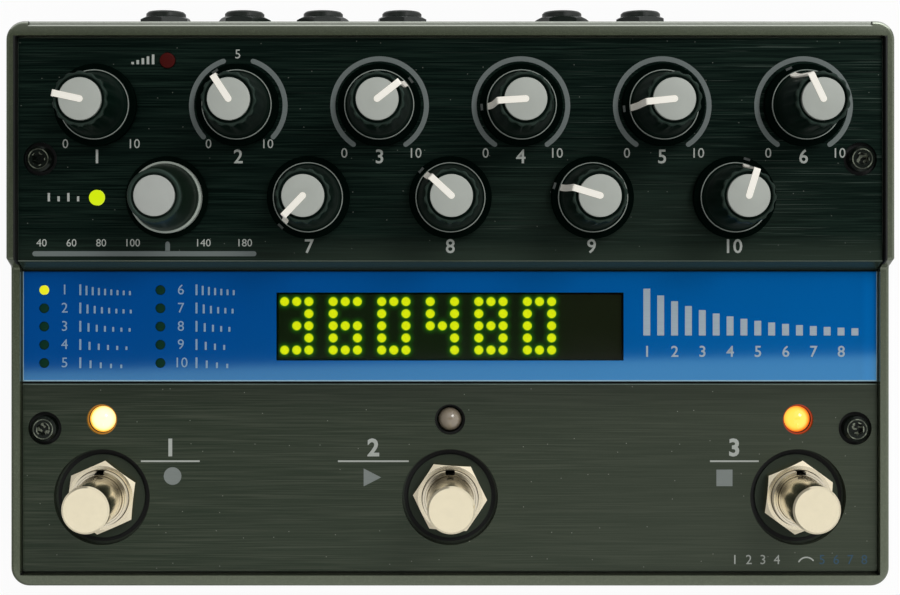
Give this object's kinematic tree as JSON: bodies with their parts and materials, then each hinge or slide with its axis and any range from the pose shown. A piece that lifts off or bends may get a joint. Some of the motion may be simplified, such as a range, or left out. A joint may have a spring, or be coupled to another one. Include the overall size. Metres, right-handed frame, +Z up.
{
  "type": "delay pedal",
  "caption": "Two-tier metal effects pedal with skirted pointer knobs, a push-and-turn encoder, a dot display strip, indicator lamps, footswitches and jack sockets along the back.",
  "frame": {"origin": "middle of the footprint, on the surface that the feet stand on", "axes": "+X to the right as the player sees it, +Y to the back where the jacks are, +Z up"},
  "size_m": [0.1906, 0.1264, 0.0541],
  "materials": {
    "case_paint": "dark olive-grey metallic paint with a fine sparkle",
    "black_anodised": "black anodised, brushed from side to side",
    "blue_acrylic": "deep blue, high gloss",
    "smoked_window": "near-black smoked window, high gloss",
    "display_black": "matt black",
    "knob_black": "black, soft gloss",
    "knob_cap": "satin grey",
    "pointer_cream": "cream-white",
    "control_metal": "plain drawn steel",
    "nickel": "warm bright nickel",
    "black_steel": "black oxide",
    "black_washer": "matt black",
    "black_plastic": "black moulded plastic",
    "foot_rubber": "black rubber",
    "status_lamp": "clear lamp",
    "mode_lamp": "tinted lamp",
    "board_green": "green circuit board",
    "print_grey": "pale grey print"
  },
  "bodies": {
    "pedal_body": {"housing": "case_paint", "base_tray": "case_paint", "back_plate": "case_paint", "case_screws": "black_steel", "rubber_feet": "foot_rubber", "rear_panel": "black_anodised", "front_panel": "black_anodised", "display_fascia": "blue_acrylic", "display_window": "smoked_window", "display_module": "display_black", "status_leds": "status_lamp", "small_leds": "mode_lamp", "potentiometers": "control_metal", "encoder_housing": "control_metal", "shaft_nuts": "nickel", "footswitch_bodies": "nickel", "footswitch_washers": "black_washer", "footswitch_nuts": "nickel", "control_board": "board_green", "main_board": "board_green", "phone_jacks": "black_plastic", "jack_nuts": "black_plastic", "dc_inlet": "black_plastic"},
    "rear_knob_1": {"rear_knob_1": "knob_black", "rear_knob_1_cap": "knob_cap", "rear_knob_1_shaft": "control_metal"},
    "rear_knob_2": {"rear_knob_2": "knob_black", "rear_knob_2_cap": "knob_cap", "rear_knob_2_shaft": "control_metal"},
    "rear_knob_3": {"rear_knob_3": "knob_black", "rear_knob_3_cap": "knob_cap", "rear_knob_3_shaft": "control_metal"},
    "rear_knob_4": {"rear_knob_4": "knob_black", "rear_knob_4_cap": "knob_cap", "rear_knob_4_shaft": "control_metal"},
    "rear_knob_5": {"rear_knob_5": "knob_black", "rear_knob_5_cap": "knob_cap", "rear_knob_5_shaft": "control_metal"},
    "rear_knob_6": {"rear_knob_6": "knob_black", "rear_knob_6_cap": "knob_cap", "rear_knob_6_shaft": "control_metal"},
    "front_knob_1": {"front_knob_1": "knob_black", "front_knob_1_cap": "knob_cap", "front_knob_1_shaft": "control_metal"},
    "front_knob_2": {"front_knob_2": "knob_black", "front_knob_2_cap": "knob_cap", "front_knob_2_shaft": "control_metal"},
    "front_knob_3": {"front_knob_3": "knob_black", "front_knob_3_cap": "knob_cap", "front_knob_3_shaft": "control_metal"},
    "front_knob_4": {"front_knob_4": "knob_black", "front_knob_4_cap": "knob_cap", "front_knob_4_shaft": "control_metal"},
    "encoder_push": {"encoder_push_stem": "black_plastic"},
    "encoder_knob": {"encoder_knob": "knob_black", "encoder_knob_cap": "knob_cap", "encoder_knob_shaft": "control_metal"},
    "footswitch_plunger_1": {"footswitch_plunger_1": "nickel"},
    "footswitch_plunger_2": {"footswitch_plunger_2": "nickel"},
    "footswitch_plunger_3": {"footswitch_plunger_3": "nickel"}
  },
  "joints": [
    {"name": "rear_knob_1_turn", "type": "hinge", "parent": "pedal_body", "child": "rear_knob_1", "pos_m": [-0.076, 0.0407, 0.038], "axis": [0, 0, 1], "range_deg": [-227.7, 72.3]},
    {"name": "rear_knob_2_turn", "type": "hinge", "parent": "pedal_body", "child": "rear_knob_2", "pos_m": [-0.0456, 0.0407, 0.038], "axis": [0, 0, 1], "range_deg": [-183.2, 116.8]},
    {"name": "rear_knob_3_turn", "type": "hinge", "parent": "pedal_body", "child": "rear_knob_3", "pos_m": [-0.0152, 0.0407, 0.038], "axis": [0, 0, 1], "range_deg": [-98, 202]},
    {"name": "rear_knob_4_turn", "type": "hinge", "parent": "pedal_body", "child": "rear_knob_4", "pos_m": [0.0152, 0.0407, 0.038], "axis": [0, 0, 1], "range_deg": [-243.5, 56.5]},
    {"name": "rear_knob_5_turn", "type": "hinge", "parent": "pedal_body", "child": "rear_knob_5", "pos_m": [0.0456, 0.0407, 0.038], "axis": [0, 0, 1], "range_deg": [-245.9, 54.1]},
    {"name": "rear_knob_6_turn", "type": "hinge", "parent": "pedal_body", "child": "rear_knob_6", "pos_m": [0.076, 0.0407, 0.038], "axis": [0, 0, 1], "range_deg": [-175.8, 124.2]},
    {"name": "front_knob_1_turn", "type": "hinge", "parent": "pedal_body", "child": "front_knob_1", "pos_m": [-0.0304, 0.0209, 0.038], "axis": [0, 0, 1], "range_deg": [-286.3, 13.7]},
    {"name": "front_knob_2_turn", "type": "hinge", "parent": "pedal_body", "child": "front_knob_2", "pos_m": [0, 0.0209, 0.038], "axis": [0, 0, 1], "range_deg": [-197.2, 102.8]},
    {"name": "front_knob_3_turn", "type": "hinge", "parent": "pedal_body", "child": "front_knob_3", "pos_m": [0.0304, 0.0209, 0.038], "axis": [0, 0, 1], "range_deg": [-223.1, 76.9]},
    {"name": "front_knob_4_turn", "type": "hinge", "parent": "pedal_body", "child": "front_knob_4", "pos_m": [0.0608, 0.0209, 0.038], "axis": [0, 0, 1], "range_deg": [-132.7, 167.3]},
    {"name": "encoder_push", "type": "slide", "parent": "pedal_body", "child": "encoder_push", "axis": [0, 0, -1], "range_m": [0, 0.0005], "stiffness_N_per_m": 2000, "springref_m": -0.001},
    {"name": "encoder_turn", "type": "hinge", "parent": "encoder_push", "child": "encoder_knob", "pos_m": [-0.0608, 0.0209, 0.038], "axis": [0, 0, 1], "continuous": true},
    {"name": "footswitch_1_press", "type": "slide", "parent": "pedal_body", "child": "footswitch_plunger_1", "axis": [0, 0, -1], "range_m": [0, 0.002], "stiffness_N_per_m": 3000, "springref_m": -0.001},
    {"name": "footswitch_2_press", "type": "slide", "parent": "pedal_body", "child": "footswitch_plunger_2", "axis": [0, 0, -1], "range_m": [0, 0.002], "stiffness_N_per_m": 3000, "springref_m": -0.001},
    {"name": "footswitch_3_press", "type": "slide", "parent": "pedal_body", "child": "footswitch_plunger_3", "axis": [0, 0, -1], "range_m": [0, 0.002], "stiffness_N_per_m": 3000, "springref_m": -0.001}
  ]
}
